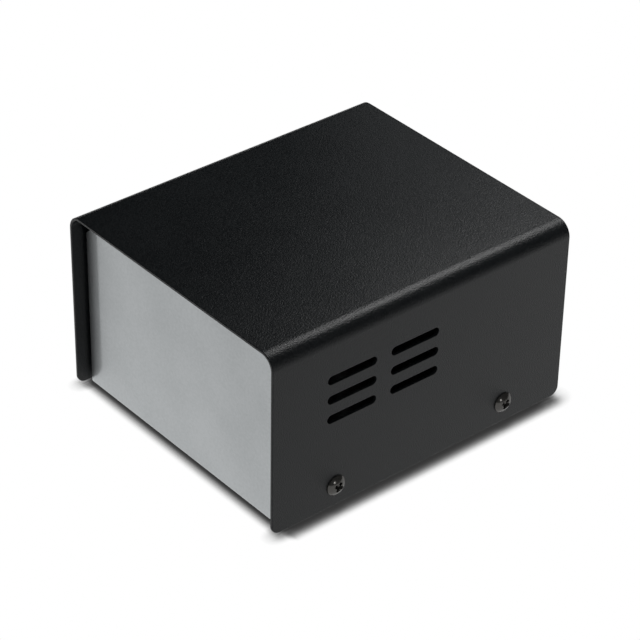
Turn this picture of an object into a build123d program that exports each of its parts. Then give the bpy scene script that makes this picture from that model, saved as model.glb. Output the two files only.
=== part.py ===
from build123d import *
from math import radians, tan
import os

# Outside of the closed case, in millimetres: X is across, Y runs from front to rear, Z is up
case_width = 100.0
case_depth = 117.0
case_height = 65.0

# Cover, one steel sheet bent down at both sides
cover_sheet = 1.0
cover_bend_inside = 4.2
cover_corner_radius = 3.0
cover_edge_break = 0.15
cover_foot = 1.1

# Vent slots, alike in both side walls
slot_length = 18.8
slot_width = 3.05
slot_rows = 3
slot_columns = 2
slot_row_pitch = 7.0
slot_column_pitch = 24.4
slot_top_drop = 17.1
slot_front_inset = 30.0

# Chassis, one aluminium sheet folded into base, front panel, rear panel and side flanges
chassis_sheet = 1.0
chassis_bend_inside = 0.6
panel_recess = 4.7
panel_side_gap = 1.1
panel_top_gap = 0.3
panel_corner_cut = 6.7
flange_clearance = 0.2
flange_height = 15.0
flange_corner_radius = 3.0
relief_width = 1.6
relief_reach = 1.0

# Cover screws, M3 with a low domed head and a cross recess
screw_end_inset = 24.45
screw_rise = 8.5
screw_thread = 3.0
screw_length = 6.0
screw_hole_clearance = 0.2
head_diameter = 6.9
head_height = 1.9
head_rim = 0.35
recess_span = 3.7
recess_floor_span = 2.3
recess_wing = 1.3
recess_side_angle = 26.5
recess_floor_angle = 20.0
recess_turn = -20.0

# Press-in nuts, set into the side flanges from inside the case
nut_head_diameter = 6.3
nut_head_height = 1.5
nut_shank_diameter = 4.2
nut_shank_length = 0.9
nut_bore_clearance = 0.05
nut_press_clearance = 0.02

# How near an edge's place has to be to the one looked for
pick_reach = 0.001

# Worked out from the sizes above
half_width = case_width / 2
half_depth = case_depth / 2
cover_bend_outside = cover_bend_inside + cover_sheet
cover_inner_half = half_width - cover_sheet
cover_underside = case_height - cover_sheet
chassis_bend_outside = chassis_bend_inside + chassis_sheet
panel_face = half_depth - panel_recess
panel_half_width = cover_inner_half - panel_side_gap
panel_top = cover_underside - panel_top_gap
flange_face = cover_inner_half - flange_clearance
flange_inner = flange_face - chassis_sheet
flange_bend_start = flange_face - chassis_bend_outside
relief_start = panel_face - chassis_bend_outside
flange_half_length = relief_start - relief_width
screw_row = half_depth - screw_end_inset


def folded_section(plane, half_span, foot, head, sheet, bend_outside, bend_inside):
    """Face of a sheet folded twice into a channel, drawn on a plane; foot is its open end."""
    inward = 1 if head > foot else -1
    with BuildSketch(plane) as section:
        with BuildLine():
            outer = FilletPolyline(
                (-half_span, foot), (-half_span, head), (half_span, head), (half_span, foot),
                radius=bend_outside,
            )
            inner = FilletPolyline(
                (sheet - half_span, foot),
                (sheet - half_span, head - inward * sheet),
                (half_span - sheet, head - inward * sheet),
                (half_span - sheet, foot),
                radius=bend_inside,
            )
            Line(outer @ 0, inner @ 0)
            Line(outer @ 1, inner @ 1)
        make_face()
    return section.sketch


def edges_along(part, axis, height):
    """Edges parallel to an axis whose middle lies at the given height."""
    level = part.edges().filter_by(axis)
    return level.filter_by_position(Axis.Z, height - pick_reach, height + pick_reach)


def outer_corners(edges, reach, axis):
    """Those edges whose middle lies furthest out along an axis, on both sides."""
    high_side = edges.filter_by_position(axis, reach - pick_reach, reach + pick_reach)
    low_side = edges.filter_by_position(axis, -reach - pick_reach, pick_reach - reach)
    return high_side + low_side


def side_places():
    """Names and places of the four cover screws: side is +1 on the right wall and -1 on the left."""
    for side, side_name in ((1, "right"), (-1, "left")):
        for end, end_name in ((-1, "front"), (1, "rear")):
            yield f"{side_name}_{end_name}", side, end * screw_row


def wall_plane(side, wall_x, along):
    """Plane on a side wall at a screw's place, facing out of the case."""
    return Plane(origin=(side * wall_x, along, screw_rise), x_dir=(0, 1, 0), z_dir=(side, 0, 0))


def screw_row_holes(radius):
    """Rods along X that drill the screw holes through both sides."""
    with BuildPart() as drills:
        with BuildSketch(Plane.YZ):
            with Locations((-screw_row, screw_rise), (screw_row, screw_rise)):
                Circle(radius)
        extrude(amount=half_width + cover_sheet, both=True)
    return drills.part


def vent_slots():
    """Round-ended bars along X that punch the vents through both side walls."""
    middle_y = slot_front_inset + (slot_columns - 1) * slot_column_pitch / 2 - half_depth
    middle_z = case_height - slot_top_drop - (slot_rows - 1) * slot_row_pitch / 2
    with BuildPart() as punches:
        with BuildSketch(Plane.YZ):
            with Locations((middle_y, middle_z)):
                with GridLocations(slot_column_pitch, slot_row_pitch, slot_columns, slot_rows):
                    SlotOverall(slot_length, slot_width)
        extrude(amount=half_width + cover_sheet, both=True)
    return punches.part


def make_cover():
    """Cover sheet with its bends, rounded lower corners, deburred rim, vents and screw holes."""
    section = folded_section(
        Plane.XZ,
        half_width,
        cover_foot,
        case_height,
        cover_sheet,
        cover_bend_outside,
        cover_bend_inside,
    )
    sheet = extrude(section, amount=half_depth, both=True)
    lower_corners = outer_corners(edges_along(sheet, Axis.X, cover_foot), half_depth, Axis.Y)
    sheet = fillet(lower_corners, radius=cover_corner_radius)
    rim = [
        edge for edge in sheet.edges()
        if edge.length > cover_sheet + pick_reach and not is_wall_line(edge)
    ]
    sheet = chamfer(rim, length=cover_edge_break)
    return sheet - vent_slots() - screw_row_holes(screw_thread / 2 + screw_hole_clearance)


def is_wall_line(edge):
    """True for the lines along Y where a bend meets the flat sheet."""
    return edge.length > case_depth / 2 and edge.center().Z > cover_foot + cover_corner_radius


def make_chassis():
    """Chassis sheet: base and panels, with the side flanges folded up between corner reliefs."""
    section = folded_section(
        Plane.YZ, panel_face, panel_top, 0, chassis_sheet, chassis_bend_outside, chassis_bend_inside
    )
    tray = extrude(section, amount=panel_half_width, both=True)
    panel_corners = outer_corners(edges_along(tray, Axis.Y, panel_top), panel_half_width, Axis.X)
    tray = chamfer(panel_corners, length=panel_corner_cut)
    for side in (1, -1):
        tray = tray - base_notch(side) + side_flange(side)
    return tray - screw_row_holes(nut_shank_diameter / 2 + nut_press_clearance)


def base_notch(side):
    """Strip of base cut away at one side, with a round-ended relief at each end of the fold."""
    strip_width = half_width - flange_bend_start
    middle_x = side * (flange_bend_start + strip_width / 2)
    relief_row = relief_start - relief_width / 2
    relief_length = strip_width + relief_reach
    relief_x = side * (half_width - relief_length / 2)
    with BuildPart() as notch:
        with BuildSketch():
            with Locations((middle_x, 0)):
                Rectangle(strip_width, 2 * relief_start)
            with Locations((relief_x, -relief_row), (relief_x, relief_row)):
                SlotOverall(relief_length + relief_width, relief_width)
        extrude(amount=chassis_sheet)
    return notch.part


def side_flange(side):
    """Upturned flange at one side, with rounded ends."""
    root = flange_bend_start - relief_reach
    with BuildPart() as flange:
        with BuildSketch(Plane.XZ):
            with BuildLine():
                outer = FilletPolyline(
                    (side * root, 0), (side * flange_face, 0), (side * flange_face, flange_height),
                    radius=chassis_bend_outside,
                )
                inner = FilletPolyline(
                    (side * root, chassis_sheet),
                    (side * flange_inner, chassis_sheet),
                    (side * flange_inner, flange_height),
                    radius=chassis_bend_inside,
                )
                Line(outer @ 0, inner @ 0)
                Line(outer @ 1, inner @ 1)
            make_face()
        extrude(amount=flange_half_length, both=True)
        tips = outer_corners(edges_along(flange.part, Axis.X, flange_height), flange_half_length, Axis.Y)
        fillet(tips, radius=flange_corner_radius)
    return flange.part


def make_press_nut():
    """Round nut about +Z: its head lies under z = 0 and its shank stands above, in the sheet."""
    head_radius = nut_head_diameter / 2
    shank_radius = nut_shank_diameter / 2
    bore_radius = screw_thread / 2 + nut_bore_clearance
    with BuildPart() as nut:
        with BuildSketch(Plane.XZ):
            with BuildLine():
                Polyline(
                    (bore_radius, -nut_head_height),
                    (head_radius, -nut_head_height),
                    (head_radius, 0),
                    (shank_radius, 0),
                    (shank_radius, nut_shank_length),
                    (bore_radius, nut_shank_length),
                    close=True,
                )
            make_face()
        revolve(axis=Axis.Z)
    return nut.part


def make_screw():
    """Machine screw about +Z: its head sits on z = 0 and its shank points down."""
    head_radius = head_diameter / 2
    shank_radius = screw_thread / 2
    dome = head_height - head_rim
    dome_radius = (head_radius**2 + dome**2) / (2 * dome)
    with BuildPart() as screw:
        with BuildSketch(Plane.XZ):
            with BuildLine():
                Polyline(
                    (0, head_height),
                    (0, -screw_length),
                    (shank_radius, -screw_length),
                    (shank_radius, 0),
                    (head_radius, 0),
                    (head_radius, head_rim),
                )
                RadiusArc((head_radius, head_rim), (0, head_height), -dome_radius)
            make_face()
        revolve(axis=Axis.Z)
    return screw.part - cross_recess()


def cross_recess():
    """Cross-shaped driver recess: two crossed wings, their ends sloping in to a shallow point."""
    mouth = recess_span / 2
    floor = recess_floor_span / 2
    floor_height = head_height - (mouth - floor) / tan(radians(recess_side_angle))
    point_height = floor_height - floor * tan(radians(recess_floor_angle))
    with BuildPart() as recess:
        for turn in (recess_turn, recess_turn + 90):
            with BuildSketch(Plane.XZ.rotated((0, turn, 0))):
                Polygon(
                    (-mouth, head_height),
                    (mouth, head_height),
                    (floor, floor_height),
                    (0, point_height),
                    (-floor, floor_height),
                    align=None,
                )
            extrude(amount=recess_wing / 2, both=True)
    return recess.part


def write_node(name, part):
    """Write one named piece."""
    part.label = name
    export_step(part, f"parts/{name}.step")


def main():
    """Build every piece in its place and write it."""
    os.makedirs("parts", exist_ok=True)
    write_node("cover", make_cover())
    write_node("chassis", make_chassis())
    screw = make_screw()
    nut = make_press_nut()
    for place, side, along in side_places():
        write_node(f"screw_{place}", wall_plane(side, half_width, along) * screw)
        write_node(f"press_nut_{place}", wall_plane(side, flange_inner, along) * nut)


main()
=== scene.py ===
"""Finishes and fine detail of a folded metal project enclosure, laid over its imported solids."""

import logging
import math
from dataclasses import dataclass
from enum import Enum

import bmesh
import bpy
from mathutils import Matrix, Vector


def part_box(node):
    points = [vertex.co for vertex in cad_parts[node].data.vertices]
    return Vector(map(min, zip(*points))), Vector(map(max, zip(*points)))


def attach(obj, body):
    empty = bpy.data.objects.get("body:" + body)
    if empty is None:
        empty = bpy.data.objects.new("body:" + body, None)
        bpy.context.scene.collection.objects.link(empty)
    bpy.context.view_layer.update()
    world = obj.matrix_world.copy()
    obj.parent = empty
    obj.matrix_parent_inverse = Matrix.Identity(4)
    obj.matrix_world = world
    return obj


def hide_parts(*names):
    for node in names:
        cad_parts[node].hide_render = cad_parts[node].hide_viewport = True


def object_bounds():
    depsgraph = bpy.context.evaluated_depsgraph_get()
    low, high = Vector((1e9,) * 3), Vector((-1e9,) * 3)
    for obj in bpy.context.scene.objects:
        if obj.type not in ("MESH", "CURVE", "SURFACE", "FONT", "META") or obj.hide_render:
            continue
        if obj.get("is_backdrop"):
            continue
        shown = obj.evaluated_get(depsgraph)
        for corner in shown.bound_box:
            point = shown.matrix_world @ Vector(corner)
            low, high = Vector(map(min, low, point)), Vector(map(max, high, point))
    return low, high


MM = 0.001

# Corners nearer than this are one: on a packed sheet in metres, on a fastening in its millimetres
SHEET_MERGE = 0.002 * MM
FASTENING_MERGE = 0.001

# Faces of a packed sheet that turn less than this are one flat face, in degrees
FLAT_TURN = 0.4

# How near a corner has to be to a cutting plane to lie in it
CUT_REACH = 1e-7

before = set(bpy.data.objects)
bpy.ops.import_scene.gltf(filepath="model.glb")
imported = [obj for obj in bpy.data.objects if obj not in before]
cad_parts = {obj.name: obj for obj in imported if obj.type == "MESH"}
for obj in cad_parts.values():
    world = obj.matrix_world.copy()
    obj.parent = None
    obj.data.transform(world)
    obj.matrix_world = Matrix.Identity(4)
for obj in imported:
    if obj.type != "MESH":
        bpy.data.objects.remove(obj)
log = logging.getLogger("enclosure")


class Side(Enum):
    """Side walls of the case, each with the sign of X that it stands on."""

    RIGHT = 1
    LEFT = -1


class End(Enum):
    """Ends of a side wall, each with the sign of Y that it lies at."""

    FRONT = -1
    REAR = 1


class Joining(Enum):
    """Ways to work one closed mesh with another."""

    FUSE = "UNION"
    CUT = "DIFFERENCE"


class Wire:
    """One output of a shader node, on which sums can be written."""

    def __init__(self, sheet: "NodeSheet", node: bpy.types.Node, output: str | int = 0) -> None:
        """Hold an output of a node.

        Args:
            sheet: The sheet that the node stands on.
            node: The node.
            output: The output's name or number.
        """
        self.sheet = sheet
        self.node = node
        self.output = output

    def __getitem__(self, output: str | int) -> "Wire":
        """Another output of the same node."""
        return Wire(self.sheet, self.node, output)

    @property
    def socket(self) -> bpy.types.NodeSocket:
        """The output socket that a link starts from."""
        return self.node.outputs[self.output]

    def maths(self, operation: str, first: "Wire | float", second: "Wire | float") -> "Wire":
        """Add a Math node.

        Args:
            operation: Name of the node's operation.
            first: Its first value or link.
            second: Its second value or link.

        Returns:
            The result's output.
        """
        return self.sheet.add("ShaderNodeMath", {"operation": operation}, {0: first, 1: second})

    def __add__(self, other: "Wire | float") -> "Wire":
        """Self plus other."""
        return self.maths("ADD", self, other)

    def __radd__(self, other: float) -> "Wire":
        """Other plus self."""
        return self.maths("ADD", other, self)

    def __sub__(self, other: "Wire | float") -> "Wire":
        """Self less other."""
        return self.maths("SUBTRACT", self, other)

    def __rsub__(self, other: float) -> "Wire":
        """Other less self."""
        return self.maths("SUBTRACT", other, self)

    def __mul__(self, other: "Wire | float") -> "Wire":
        """Self times other."""
        return self.maths("MULTIPLY", self, other)

    def __rmul__(self, other: float) -> "Wire":
        """Other times self."""
        return self.maths("MULTIPLY", other, self)


class NodeSheet:
    """An emptied node tree, the one method that adds a node to it, and short forms of that method."""

    def __init__(self, tree: bpy.types.NodeTree) -> None:
        """Clear a material's or the world's node tree."""
        self.tree = tree
        tree.nodes.clear()

    def add(
        self,
        kind: str,
        settings: dict[str, object] | None = None,
        inputs: dict[str | int, object] | None = None,
    ) -> Wire:
        """Add a node.

        Args:
            kind: The node's type.
            settings: Its own settings, set first; "stops" holds a ramp's places and greys.
            inputs: Values or wires of its sockets, by name or number.

        Returns:
            The node's first output.
        """
        node = self.tree.nodes.new(kind)
        for name, setting in (settings or {}).items():
            if name == "stops":
                self.set_stops(node.color_ramp, setting)
            else:
                setattr(node, name, setting)
        for name, value in (inputs or {}).items():
            if isinstance(value, Wire):
                self.tree.links.new(value.socket, node.inputs[name])
            else:
                node.inputs[name].default_value = value
        return Wire(self, node)

    @staticmethod
    def set_stops(ramp: bpy.types.ColorRamp, stops: tuple[tuple[float, float], ...]) -> None:
        """Set a ramp's stops.

        Args:
            ramp: The ramp, with the two stops that a new one has.
            stops: The place and the grey of each stop, in order.
        """
        # New stops are added anywhere, here in the middle, and all are then put in their places
        for _ in range(len(stops) - len(ramp.elements)):
            ramp.elements.new(0.5)
        for element, (place, grey) in zip(ramp.elements, stops):
            element.position = place
            element.color = (grey, grey, grey, 1.0)

    def noise(self, where: Wire, grain: float, detail: float = 2.0) -> Wire:
        """Add noise whose lumps have a given size.

        Args:
            where: The coordinates.
            grain: Size of a lump, in metres.
            detail: Number of finer layers on top.

        Returns:
            The noise, from 0 to 1 about 0.5.
        """
        return self.add("ShaderNodeTexNoise", None, {"Vector": where, "Scale": 1 / grain, "Detail": detail})

    def fade(self, value: Wire, start: float, end: float, low: float, high: float) -> Wire:
        """Add a clamped straight change from one number to another.

        Args:
            value: What the change follows.
            start: Where it begins.
            end: Where it ends.
            low: The number at its beginning.
            high: The number at its end.

        Returns:
            The changing number.
        """
        spans = {"Value": value, "From Min": start, "From Max": end, "To Min": low, "To Max": high}
        return self.add("ShaderNodeMapRange", {"clamp": True}, spans)

    def shade(self, mask: Wire, dark: tuple[float, float, float], light: tuple[float, float, float]) -> Wire:
        """Add a colour that goes from one tone to another.

        Args:
            mask: 0 for the dark tone and 1 for the light one.
            dark: The dark tone.
            light: The light tone.

        Returns:
            The colour.
        """
        # Sockets 6 and 7 of the node take the two colours, and output 2 gives the mixed one
        tones = {0: mask, 6: (*dark, 1.0), 7: (*light, 1.0)}
        return self.add("ShaderNodeMix", {"data_type": "RGBA"}, tones)[2]

    def rays(self) -> tuple[Wire, Wire]:
        """Add the kind of ray that looks: 1 for the camera's own, and 1 for a mirrored or refracted one."""
        path = self.add("ShaderNodeLightPath")
        return path["Is Camera Ray"], path["Is Glossy Ray"] + path["Is Transmission Ray"]

    def relief(self, height: Wire, depth: float) -> Wire:
        """Add a bump.

        Args:
            height: The height, from 0 to 1.
            depth: How deep a height of 1 stands, in metres.

        Returns:
            The bent normal.
        """
        return self.add("ShaderNodeBump", None, {"Height": height, "Distance": depth})

    def surface(self, shader: Wire) -> None:
        """Join a shader to a material's output."""
        self.add("ShaderNodeOutputMaterial", None, {"Surface": shader})


def new_sheet(name: str) -> tuple[bpy.types.Material, NodeSheet]:
    """Make a material with an empty node sheet.

    Args:
        name: The material's name.

    Returns:
        The material and its sheet.
    """
    material = bpy.data.materials.new(name)
    material.use_nodes = True
    return material, NodeSheet(material.node_tree)


@dataclass(frozen=True)
class PowderCoat:
    """Fine-grained black powder coat baked on steel."""

    dark: tuple[float, float, float] = (0.0034, 0.0043, 0.0050)
    light: tuple[float, float, float] = (0.0074, 0.0087, 0.0095)
    roughness: float = 0.34
    roughness_spread: float = 0.10
    specular: float = 0.25
    grain: float = 0.45 * MM
    cloud: float = 25.0 * MM
    cloud_detail: float = 3.0
    cloud_share: float = 0.2
    tone_range: tuple[float, float] = (0.4, 0.6)
    roughness_range: tuple[float, float] = (0.35, 0.65)
    depth: float = 0.14 * MM

    def material(self) -> bpy.types.Material:
        """Make the coat's material.

        Returns:
            The material.
        """
        material, sheet = new_sheet("powder_coat")
        where = sheet.add("ShaderNodeTexCoord")["Object"]
        grain = sheet.noise(where, self.grain)
        cloud = sheet.noise(where, self.cloud, self.cloud_detail)
        flow = grain * (1 - self.cloud_share) + cloud * self.cloud_share
        colour = sheet.shade(sheet.fade(flow, *self.tone_range, 0.0, 1.0), self.dark, self.light)
        edge = self.roughness_spread / 2
        roughness = sheet.fade(flow, *self.roughness_range, self.roughness - edge, self.roughness + edge)
        shader = sheet.add("ShaderNodeBsdfPrincipled", None, {
            "Base Color": colour,
            "Roughness": roughness,
            "Specular IOR Level": self.specular,
            "Normal": sheet.relief(grain, self.depth),
        })
        sheet.surface(shader)
        return material


@dataclass(frozen=True)
class BareMetal:
    """Uncoated metal that reflects partly sharp, off its polish, and partly soft, off its grain."""

    name: str
    dark: tuple[float, float, float]
    light: tuple[float, float, float]
    polish_share: float
    polish_roughness: float
    grain_roughness: float
    grain: float
    depth: float
    metallic: float = 1.0
    cloud: float = 20.0 * MM
    cloud_share: float = 0.5
    tone_range: tuple[float, float] = (0.35, 0.65)

    def material(self) -> bpy.types.Material:
        """Make the metal's material.

        Returns:
            The material.
        """
        material, sheet = new_sheet(self.name)
        where = sheet.add("ShaderNodeTexCoord")["Object"]
        grain = sheet.noise(where, self.grain)
        cloud = sheet.noise(where, self.cloud)
        flow = grain * (1 - self.cloud_share) + cloud * self.cloud_share
        tone = sheet.fade(flow, *self.tone_range, 0.0, 1.0)
        looks = {
            "Base Color": sheet.shade(tone, self.dark, self.light),
            "Metallic": self.metallic,
            "Normal": sheet.relief(grain, self.depth),
        }
        soft, sharp = (
            sheet.add("ShaderNodeBsdfPrincipled", None, looks | {"Roughness": roughness})
            for roughness in (self.grain_roughness, self.polish_roughness)
        )
        mixed = sheet.add("ShaderNodeMixShader", None, {0: self.polish_share, 1: soft, 2: sharp})
        sheet.surface(mixed)
        return material


SATIN_ALUMINIUM = BareMetal(
    name="satin_aluminium",
    dark=(0.520, 0.542, 0.551),
    light=(0.594, 0.617, 0.627),
    polish_share=0.22,
    polish_roughness=0.10,
    grain_roughness=0.50,
    grain=0.9 * MM,
    depth=0.0015 * MM,
)
NICKEL_PLATE = BareMetal(
    name="nickel_plate",
    dark=(0.075, 0.072, 0.068),
    light=(0.090, 0.087, 0.082),
    polish_share=0.72,
    polish_roughness=0.12,
    grain_roughness=0.40,
    grain=0.25 * MM,
    depth=0.0005 * MM,
    metallic=0.8,
)
ZINC_PLATE = BareMetal(
    name="zinc_plate",
    dark=(0.50, 0.52, 0.55),
    light=(0.58, 0.60, 0.63),
    polish_share=0.5,
    polish_roughness=0.22,
    grain_roughness=0.42,
    grain=0.25 * MM,
    depth=0.0008 * MM,
)


def merged_copy(node: str) -> bmesh.types.BMesh:
    """Copy a packed sheet's mesh, with its loose triangles joined and its flat faces made whole.

    Args:
        node: The sheet's node.

    Returns:
        The joined mesh, in metres.
    """
    shape = bmesh.new()
    shape.from_mesh(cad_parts[node].data)
    bmesh.ops.remove_doubles(shape, verts=shape.verts, dist=SHEET_MERGE)
    bmesh.ops.dissolve_limit(
        shape,
        angle_limit=math.radians(FLAT_TURN),
        verts=shape.verts,
        edges=shape.edges,
        use_dissolve_boundaries=False,
    )
    return shape


@dataclass(frozen=True)
class Rounding:
    """Rounding of the outer edges that turn by an angle in a range, in degrees."""

    least_turn: float
    most_turn: float
    width: float
    segments: int

    def picks(self, edge: bmesh.types.BMEdge) -> bool:
        """Tell whether an edge is one to round.

        Args:
            edge: The edge.

        Returns:
            True if it stands out and turns by an angle in the range.
        """
        if len(edge.link_faces) != 2 or not edge.is_convex:
            return False
        return self.least_turn < math.degrees(edge.calc_face_angle(0.0)) <= self.most_turn

    def apply(self, shape: bmesh.types.BMesh) -> None:
        """Bevel the picked edges round.

        Args:
            shape: The mesh, in the unit of the width.
        """
        bmesh.ops.bevel(
            shape,
            geom=[edge for edge in shape.edges if self.picks(edge)],
            offset=self.width,
            offset_type="OFFSET",
            segments=self.segments,
            profile=0.5,
            affect="EDGES",
            clamp_overlap=True,
            material=-1,
        )


def cut_off(shape: bmesh.types.BMesh, height: float, away: int) -> None:
    """Cut a mesh at a level plane and close the cut.

    Args:
        shape: The mesh.
        height: The plane's height.
        away: 1 to take off what lies above the plane, and -1 what lies below it.
    """
    bmesh.ops.bisect_plane(
        shape,
        geom=[*shape.verts, *shape.edges, *shape.faces],
        dist=CUT_REACH,
        plane_co=(0, 0, height),
        plane_no=(0, 0, away),
        clear_outer=True,
    )
    rim = [edge for edge in shape.edges if edge.is_boundary]
    bmesh.ops.edgenet_fill(shape, edges=rim)


def scratch_object(shape: bmesh.types.BMesh) -> bpy.types.Object:
    """Put a mesh in the scene for a moment.

    Args:
        shape: The mesh, which is freed.

    Returns:
        The object that holds it.
    """
    mesh = bpy.data.meshes.new("scratch")
    shape.to_mesh(mesh)
    shape.free()
    holder = bpy.data.objects.new("scratch", mesh)
    bpy.context.scene.collection.objects.link(holder)
    return holder


def combined(
    body: bmesh.types.BMesh, tool: bmesh.types.BMesh, joining: Joining
) -> bmesh.types.BMesh:
    """Work one closed mesh with another.

    Args:
        body: The mesh that is worked, which is freed.
        tool: The mesh that works it, which is freed.
        joining: What is done.

    Returns:
        The result.
    """
    host = scratch_object(body)
    guest = scratch_object(tool)
    modifier = host.modifiers.new("combine", "BOOLEAN")
    modifier.operation = joining.value
    modifier.object = guest
    modifier.solver = "EXACT"
    result = bmesh.new()
    result.from_object(host, bpy.context.evaluated_depsgraph_get())
    for holder in (host, guest):
        mesh = holder.data
        bpy.data.objects.remove(holder)
        bpy.data.meshes.remove(mesh)
    return result


def make_piece(
    name: str,
    shape: bmesh.types.BMesh,
    material: bpy.types.Material,
    node: str,
    sharp_angle: float = 38.0,
) -> bpy.types.Object:
    """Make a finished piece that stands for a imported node.

    Args:
        name: The piece's name.
        shape: Its mesh, in metres, which is freed.
        material: Its finish.
        node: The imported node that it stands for.
        sharp_angle: Edges that turn more than this stay sharp, in degrees.

    Returns:
        The piece's object.
    """
    mesh = bpy.data.meshes.new(name)
    shape.to_mesh(mesh)
    shape.free()
    if "custom_normal" in mesh.attributes:
        mesh.attributes.remove(mesh.attributes["custom_normal"])
    mesh.materials.clear()
    mesh.materials.append(material)
    mesh.shade_smooth()
    mesh.set_sharp_from_angle(angle=math.radians(sharp_angle))
    piece = bpy.data.objects.new(name, mesh)
    bpy.context.scene.collection.objects.link(piece)
    weighting = piece.modifiers.new("flat_faces_first", "WEIGHTED_NORMAL")
    weighting.keep_sharp = True
    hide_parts(node)
    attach(piece, "root")
    log.info("%s: %d faces", name, len(mesh.polygons))
    return piece


@dataclass
class CoatedCover:
    """The cover sheet, with the soft edges that its coat gives it."""

    node: str = "cover"
    slot: str = "cover_coat"
    coat: PowderCoat = PowderCoat()
    rim_round: Rounding = Rounding(least_turn=30.0, most_turn=60.0, width=0.06 * MM, segments=2)
    punched_round: Rounding = Rounding(least_turn=75.0, most_turn=100.0, width=0.15 * MM, segments=3)

    def build(self) -> bpy.types.Object:
        """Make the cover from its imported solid.

        Returns:
            The piece.
        """
        shape = merged_copy(self.node)
        self.rim_round.apply(shape)
        self.punched_round.apply(shape)
        return make_piece("coated_cover", shape, self.coat.material(), self.node)


@dataclass
class FoldedChassis:
    """The bare chassis sheet, with its cut edges barely broken."""

    node: str = "chassis"
    slot: str = "chassis_sheet"
    metal: BareMetal = SATIN_ALUMINIUM
    cut_round: Rounding = Rounding(least_turn=75.0, most_turn=100.0, width=0.08 * MM, segments=2)

    def build(self) -> bpy.types.Object:
        """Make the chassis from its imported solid.

        Returns:
            The piece.
        """
        shape = merged_copy(self.node)
        self.cut_round.apply(shape)
        return make_piece("folded_chassis", shape, self.metal.material(), self.node)


@dataclass(frozen=True)
class Thread:
    """A coarse metric screw thread, in millimetres."""

    crest_radius: float = 1.5
    pitch: float = 0.5
    depth: float = 0.28
    crest_share: float = 0.125
    root_share: float = 0.25
    steps: int = 24

    def rod(self, bottom: float, top: float, clearance: float = 0.0) -> bmesh.types.BMesh:
        """Make a threaded rod about +Z.

        Args:
            bottom: Height of its lower end.
            top: Height of its upper end.
            clearance: How much fatter than the thread it is.

        Returns:
            The closed rod, in millimetres.
        """
        crest = self.crest_radius + clearance
        root = crest - self.depth
        flank = (1 - self.crest_share - self.root_share) / 2
        profile = (
            (root, 0.0),
            (root, self.root_share),
            (crest, self.root_share + flank),
            (crest, self.root_share + flank + self.crest_share),
            (root, 1.0),
        )
        first_turn = math.floor(bottom / self.pitch) - 1
        turns = math.ceil(top / self.pitch) + 1 - first_turn
        shape = bmesh.new()
        corners = [
            shape.verts.new((radius, 0.0, (first_turn + share) * self.pitch))
            for radius, share in profile
        ]
        edges = [shape.edges.new(pair) for pair in zip(corners, corners[1:])]
        bmesh.ops.spin(
            shape,
            geom=[*corners, *edges],
            cent=(0, 0, 0),
            axis=(0, 0, 1),
            dvec=(0, 0, self.pitch / self.steps),
            angle=math.tau * turns,
            steps=self.steps * turns,
        )
        bmesh.ops.remove_doubles(shape, verts=shape.verts, dist=FASTENING_MERGE)
        cut_off(shape, top, 1)
        cut_off(shape, bottom, -1)
        bmesh.ops.recalc_face_normals(shape, faces=shape.faces)
        return shape


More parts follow.
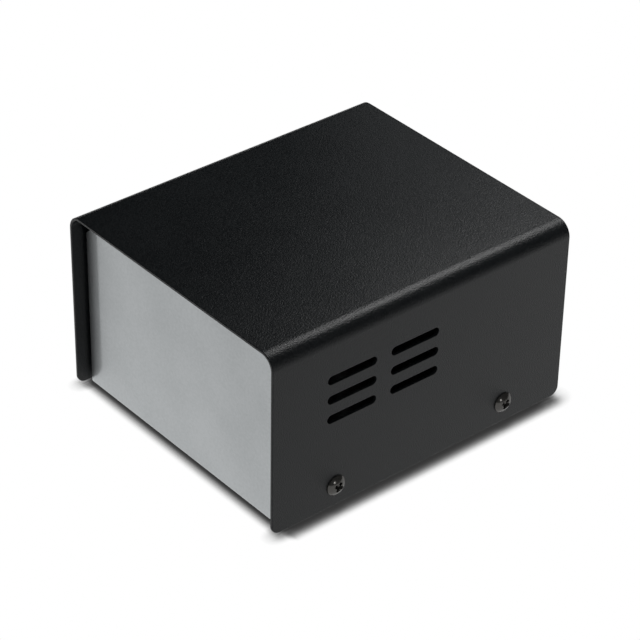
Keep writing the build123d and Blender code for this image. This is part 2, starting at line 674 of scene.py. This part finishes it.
@dataclass
class WallFastening:
    """A cover screw and the press-in nut that takes it, at one place of a side wall, in millimetres."""

    side: Side
    end: End
    thread: Thread = Thread()
    head_height: float = 1.9
    head_rim: float = 0.35
    dome_steps: int = 10
    recess_span: float = 3.7
    recess_floor_span: float = 2.3
    recess_wing: float = 1.15
    recess_wing_draft: float = 0.12
    recess_side_angle: float = 26.5
    recess_floor_angle: float = 20.0
    recess_turn: float = -30.0
    recess_dish_radius: float = 1.35
    recess_dish_angle: float = 31.0
    recess_round: Rounding = Rounding(least_turn=35.0, most_turn=110.0, width=0.03, segments=2)
    shank_overlap: float = 0.02
    tip_taper: float = 0.45
    nut_head_diameter: float = 6.3
    nut_head_height: float = 1.5
    nut_shank_diameter: float = 4.2
    nut_chamfer: float = 0.25
    nut_slack: float = 0.05
    nut_tap_overrun: float = 0.5
    turned_steps: int = 48

    @property
    def place(self) -> str:
        """The words that end the names of this place's nodes."""
        return f"{self.side.name.lower()}_{self.end.name.lower()}"

    def seat(self, wall_x: float) -> Matrix:
        """Matrix from a fastening's own millimetres to its place.

        Args:
            wall_x: Distance of its zero from the case's middle, in metres.

        Returns:
            The matrix, with the fastening's +Z pointing out of the case.
        """
        low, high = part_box(f"screw_{self.place}")
        middle = (low + high) / 2
        sign = self.side.value
        columns = Matrix(((0, 0, sign), (1, 0, 0), (0, sign, 0))).to_4x4()
        return Matrix.Translation((sign * wall_x, middle.y, middle.z)) @ columns @ Matrix.Scale(MM, 4)

    def turned(self, outline: list[tuple[float, float]]) -> bmesh.types.BMesh:
        """Turn an outline about Z into a closed mesh.

        Args:
            outline: Radius and height of each point, from one end of the axis to the other.

        Returns:
            The mesh.
        """
        body = bmesh.new()
        corners = [body.verts.new((radius, 0.0, height)) for radius, height in outline]
        edges = [body.edges.new(pair) for pair in zip(corners, corners[1:])]
        bmesh.ops.spin(
            body,
            geom=[*corners, *edges],
            cent=(0, 0, 0),
            axis=(0, 0, 1),
            angle=math.tau,
            steps=self.turned_steps,
            use_merge=True,
        )
        bmesh.ops.remove_doubles(body, verts=body.verts, dist=FASTENING_MERGE)
        bmesh.ops.recalc_face_normals(body, faces=body.faces)
        return body

    def dome_radius(self, radius: float) -> float:
        """Radius of the sphere that the dome of a head of the given radius is a cap of."""
        rise = self.head_height - self.head_rim
        return (radius**2 + rise**2) / (2 * rise)

    def head_outline(self, radius: float) -> list[tuple[float, float]]:
        """Outline of the domed head, whose upright rim meets the wall.

        Args:
            radius: The head's radius.

        Returns:
            Radius and height of each point, from the wall out to the tip of the dome.
        """
        dome = self.dome_radius(radius)
        half_angle = math.asin(radius / dome)
        outline = [(0.0, 0.0), (radius, 0.0)]
        for step in range(self.dome_steps, -1, -1):
            angle = half_angle * step / self.dome_steps
            outline.append((dome * math.sin(angle), self.head_height - dome * (1 - math.cos(angle))))
        return outline

    def dish_outline(self, radius: float) -> list[tuple[float, float]]:
        """Outline of the shallow cone that opens the middle of the recess.

        Args:
            radius: The head's radius.

        Returns:
            Radius and height of each point, from the cone's point to above the dome.
        """
        dome = self.dome_radius(radius)
        drop = dome - math.sqrt(dome**2 - self.recess_dish_radius**2)
        slope = math.tan(math.radians(self.recess_dish_angle))
        reach = self.recess_dish_radius + self.recess_wing
        rim = self.head_height - drop
        point = rim - self.recess_dish_radius * slope
        return [(0.0, point), (reach, point + reach * slope), (0.0, point + reach * slope)]

    def recess_wing_bar(self, turn: float) -> bmesh.types.BMesh:
        """One of the recess's two crossed bars, narrower at its foot, with a pointed underside.

        Args:
            turn: Its angle about the screw's axis, in degrees.

        Returns:
            The bar, which is measured from the dome's tip and reaches past it.
        """
        mouth = self.recess_span / 2
        floor = self.recess_floor_span / 2
        slope = (mouth - floor) / math.tan(math.radians(self.recess_side_angle))
        point = slope + floor * math.tan(math.radians(self.recess_floor_angle))
        outline = [(-mouth, 0.0), (-floor, -slope), (0.0, -point), (floor, -slope), (mouth, 0.0)]
        bar = bmesh.new()
        section = [bar.verts.new((along, -self.recess_wing / 2, rise)) for along, rise in outline]
        face = bar.faces.new(section)
        grown = bmesh.ops.extrude_face_region(bar, geom=[face])["geom"]
        far_side = [item for item in grown if isinstance(item, bmesh.types.BMVert)]
        bmesh.ops.translate(bar, vec=(0, self.recess_wing, 0), verts=far_side)
        # The bar narrows downwards, and its top face is then raised clear of the dome
        for vertex in bar.verts:
            vertex.co.y *= 1 + self.recess_wing_draft * vertex.co.z / slope
        lid = [
            face for face in bar.faces
            if all(corner.co.z > -FASTENING_MERGE for corner in face.verts)
        ]
        raised = bmesh.ops.extrude_face_region(bar, geom=lid)["geom"]
        bmesh.ops.delete(bar, geom=lid, context="FACES_ONLY")
        tips = [item for item in raised if isinstance(item, bmesh.types.BMVert)]
        bmesh.ops.translate(bar, vec=(0, 0, self.recess_span), verts=tips)
        place = Matrix.Translation((0, 0, self.head_height)) @ Matrix.Rotation(math.radians(turn), 4, "Z")
        bmesh.ops.transform(bar, matrix=place, verts=bar.verts)
        bmesh.ops.recalc_face_normals(bar, faces=bar.faces)
        return bar

    def screw(self, material: bpy.types.Material) -> bpy.types.Object:
        """Make the screw: a domed head with a cross recess, on a threaded shank.

        Args:
            material: Its finish.

        Returns:
            The piece.
        """
        node = f"screw_{self.place}"
        low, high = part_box(node)
        wall_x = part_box("cover")[1].x
        length = (wall_x - min(abs(low.x), abs(high.x))) / MM
        radius = (high.y - low.y) / 2 / MM
        shape = self.turned(self.head_outline(radius))
        shape = combined(shape, self.turned(self.dish_outline(radius)), Joining.CUT)
        for turn in (self.recess_turn, self.recess_turn + 90):
            shape = combined(shape, self.recess_wing_bar(turn), Joining.CUT)
        self.recess_round.apply(shape)
        shank = self.thread.rod(-length, self.shank_overlap)
        for vertex in shank.verts:
            taper = max(0.0, self.tip_taper - (vertex.co.z + length))
            vertex.co.xy *= 1 - taper / self.thread.crest_radius
        shape = combined(shape, shank, Joining.FUSE)
        bmesh.ops.transform(shape, matrix=self.seat(wall_x), verts=shape.verts)
        return make_piece(f"machine_screw_{self.place}", shape, material, node)

    def nut(self, material: bpy.types.Material) -> bpy.types.Object:
        """Make the nut: a turned collar with a thread cut through it.

        Args:
            material: Its finish.

        Returns:
            The piece.
        """
        node = f"press_nut_{self.place}"
        low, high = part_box(node)
        outer_x = max(abs(low.x), abs(high.x))
        shank_length = (high.x - low.x) / MM - self.nut_head_height
        head = self.nut_head_diameter / 2
        shank = self.nut_shank_diameter / 2
        edge = self.nut_chamfer
        outline = [
            (0, -self.nut_head_height),
            (head - edge, -self.nut_head_height),
            (head, edge - self.nut_head_height),
            (head, 0),
            (shank, 0),
            (shank, shank_length - edge),
            (shank - edge, shank_length),
            (0, shank_length),
        ]
        low_end = -self.nut_head_height - self.nut_tap_overrun
        rod = self.thread.rod(low_end, shank_length + self.nut_tap_overrun, self.nut_slack)
        shape = combined(self.turned(outline), rod, Joining.CUT)
        seat = self.seat(outer_x - shank_length * MM)
        bmesh.ops.transform(shape, matrix=seat, verts=shape.verts)
        return make_piece(f"threaded_nut_{self.place}", shape, material, node)

    def build(self, screw_finish: bpy.types.Material, nut_finish: bpy.types.Material) -> None:
        """Make both pieces.

        Args:
            screw_finish: The screw's material.
            nut_finish: The nut's material.
        """
        self.screw(screw_finish)
        self.nut(nut_finish)


@dataclass(frozen=True)
class Lamp:
    """Flat soft lamp that faces the middle of the case, in millimetres and watts."""

    name: str
    offset: tuple[float, float, float]
    size: tuple[float, float]
    power: float

    def hang(self, middle: Vector) -> None:
        """Make the lamp.

        Args:
            middle: The place that it faces and is offset from, in metres.
        """
        light = bpy.data.lights.new(self.name, "AREA")
        light.shape = "RECTANGLE"
        light.size, light.size_y = (side * MM for side in self.size)
        light.energy = self.power
        hung = bpy.data.objects.new(self.name, light)
        away = Vector(self.offset) * MM
        hung.location = middle + away
        hung.rotation_mode = "QUATERNION"
        hung.rotation_quaternion = away.to_track_quat("Z", "Y")
        hung.visible_camera = False
        bpy.context.scene.collection.objects.link(hung)


@dataclass
class Studio:
    """White table, plain soft light all round and three soft lamps."""

    floor_half: float = 3.0
    floor_drop: float = 0.02 * MM
    floor_white: float = 0.8
    shadow_samples: int = 16
    shadow_reach: float = 6.0 * MM
    panel_shadow_reach: float = 4.3 * MM
    panel_shadow_lift: float = 0.33
    shadow_stops: tuple[tuple[float, float], ...] = (
        (0.50, 0.038), (0.63, 0.068), (0.75, 0.172), (0.86, 0.48), (0.95, 0.87), (1.0, 1.0)
    )
    mirror_white: float = 0.90
    mirror_dark: float = 0.02
    mirror_fade: tuple[float, float] = (0.30, 0.80)
    mirror_lean: tuple[float, float, float] = (-1.0, 1.3, 0.0)
    sky_level: float = 0.75
    sky_mirror: float = 0.02
    lamps: tuple[Lamp, ...] = (
        Lamp("softbox", offset=(-3.0, 130.0, 220.0), size=(108.0, 140.0), power=0.405),
        Lamp("rear_card", offset=(-100.0, 165.0, 90.0), size=(120.0, 60.0), power=0.0095),
        Lamp("side_lamp", offset=(580.0, -60.0, 130.0), size=(110.0, 110.0), power=0.265),
    )

    def contact_shadow(self, sheet: NodeSheet, where: Wire) -> Wire:
        """Add the painted shadow where the case stands: a soft dark line, narrower and paler in front of its
        panel.

        Args:
            sheet: The table's sheet.
            where: Places on the table.

        Returns:
            The table's white, from near black at the case to 1.
        """
        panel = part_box("chassis")[0].y
        along = sheet.add("ShaderNodeSeparateXYZ", None, {0: where})["Y"]
        reach = sheet.fade(along, panel - MM, panel + MM, self.panel_shadow_reach, self.shadow_reach)
        samples = {"samples": self.shadow_samples}
        # Painted shadow: the table's glow is dimmed where the case hems it in, measured by the occlusion
        # node, not cast by the lamps
        closeness = 1 - sheet.add("ShaderNodeAmbientOcclusion", samples, {"Distance": reach})["AO"]
        shade = closeness * sheet.fade(along, panel - MM, panel + MM, 1 - self.panel_shadow_lift, 1.0)
        return sheet.add("ShaderNodeValToRGB", {"stops": self.shadow_stops}, {"Fac": 1 - shade})

    def mirrored_table(self, sheet: NodeSheet, where: Wire) -> Wire:
        """Add the table as the case mirrors it: fading outwards, and brighter towards one corner.

        Args:
            sheet: The table's sheet.
            where: Places on the table.

        Returns:
            The strength of its white.
        """
        radius = sheet.add("ShaderNodeVectorMath", {"operation": "LENGTH"}, {0: where})["Value"]
        white = sheet.fade(radius, *self.mirror_fade, self.mirror_white, self.mirror_dark)
        vectors = {0: where, 1: self.mirror_lean}
        lean = sheet.add("ShaderNodeVectorMath", {"operation": "DOT_PRODUCT"}, vectors)["Value"]
        # Painted light: the glow that the case mirrors fades outwards and leans brighter towards one corner
        return white * (1 + lean)

    def floor_material(self) -> bpy.types.Material:
        """Make the table's material: paper that lights the case, and a painted glow that is white to the eye
        and in mirrors, with a painted shadow about the case.

        Returns:
            The material.
        """
        material, sheet = new_sheet("white_table")
        seen, mirrored = sheet.rays()
        where = sheet.add("ShaderNodeTexCoord")["Object"]
        strength = seen * self.contact_shadow(sheet, where) + mirrored * self.mirrored_table(sheet, where)
        glow = sheet.add("ShaderNodeEmission", None, {"Strength": strength})
        paper = sheet.add("ShaderNodeBsdfDiffuse", None, {"Color": (*[self.floor_white] * 3, 1.0)})
        sheet.surface(sheet.add("ShaderNodeMixShader", None, {0: seen + mirrored, 1: paper, 2: glow}))
        return material

    def floor(self) -> None:
        """Make the table."""
        shape = bmesh.new()
        bmesh.ops.create_grid(shape, x_segments=1, y_segments=1, size=self.floor_half)
        bmesh.ops.translate(shape, vec=(0, 0, -self.floor_drop), verts=shape.verts)
        mesh = bpy.data.meshes.new("table")
        shape.to_mesh(mesh)
        shape.free()
        mesh.materials.append(self.floor_material())
        table = bpy.data.objects.new("table", mesh)
        bpy.context.scene.collection.objects.link(table)
        table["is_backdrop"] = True

    def sky(self) -> None:
        """Light the case evenly from all round, and show white behind it."""
        world = bpy.data.worlds.new("studio")
        world.use_nodes = True
        bpy.context.scene.world = world
        sheet = NodeSheet(world.node_tree)
        seen, mirrored = sheet.rays()
        plain = 1 - seen - mirrored
        strength = seen + mirrored * self.sky_mirror + plain * self.sky_level
        light = sheet.add("ShaderNodeBackground", None, {"Strength": strength})
        sheet.add("ShaderNodeOutputWorld", None, {"Surface": light})

    def build(self) -> None:
        """Set up the table and the lights."""
        self.floor()
        self.sky()
        low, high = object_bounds()
        for lamp in self.lamps:
            lamp.hang((low + high) / 2)


@dataclass
class PhotoCamera:
    """The camera that the photograph was taken with, angles in degrees and lengths in metres."""

    azimuth: float = 49.835
    elevation: float = 34.145
    roll: float = 1.041
    distance: float = 824.839 * MM
    aim_height: float = 32.5 * MM
    slide_right: float = 0.524 * MM
    slide_up: float = -4.327 * MM
    lens: float = 148.063
    sensor: float = 36.0

    def build(self) -> None:
        """Make the camera and take it into use."""
        turn = math.radians(self.azimuth)
        rise = math.radians(self.elevation)
        back = Vector((
            math.sin(turn) * math.cos(rise), -math.cos(turn) * math.cos(rise), math.sin(rise)
        ))
        level = Vector((math.cos(turn), math.sin(turn), 0))
        tilt = Matrix.Rotation(math.radians(self.roll), 3, back)
        right = tilt @ level
        up = back.cross(right)
        data = bpy.data.cameras.new("photo_camera")
        data.lens = self.lens
        data.sensor_width = self.sensor
        camera = bpy.data.objects.new("photo_camera", data)
        aim = Vector((0, 0, self.aim_height))
        eye = aim + back * self.distance + right * self.slide_right + up * self.slide_up
        facing = Matrix((right, up, back)).transposed().to_4x4()
        camera.matrix_world = Matrix.Translation(eye) @ facing
        bpy.context.scene.collection.objects.link(camera)
        bpy.context.scene.camera = camera


def main() -> None:
    """Dress the case, light it and set the camera."""
    logging.basicConfig(level=logging.INFO, format="%(name)s: %(message)s")
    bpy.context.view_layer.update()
    bpy.context.scene.view_settings.view_transform = "Standard"
    CoatedCover().build()
    FoldedChassis().build()
    screw_finish = NICKEL_PLATE.material()
    nut_finish = ZINC_PLATE.material()
    for side in Side:
        for end in End:
            WallFastening(side, end).build(screw_finish, nut_finish)
    Studio().build()
    PhotoCamera().build()


if __name__ == "__main__":
    main()
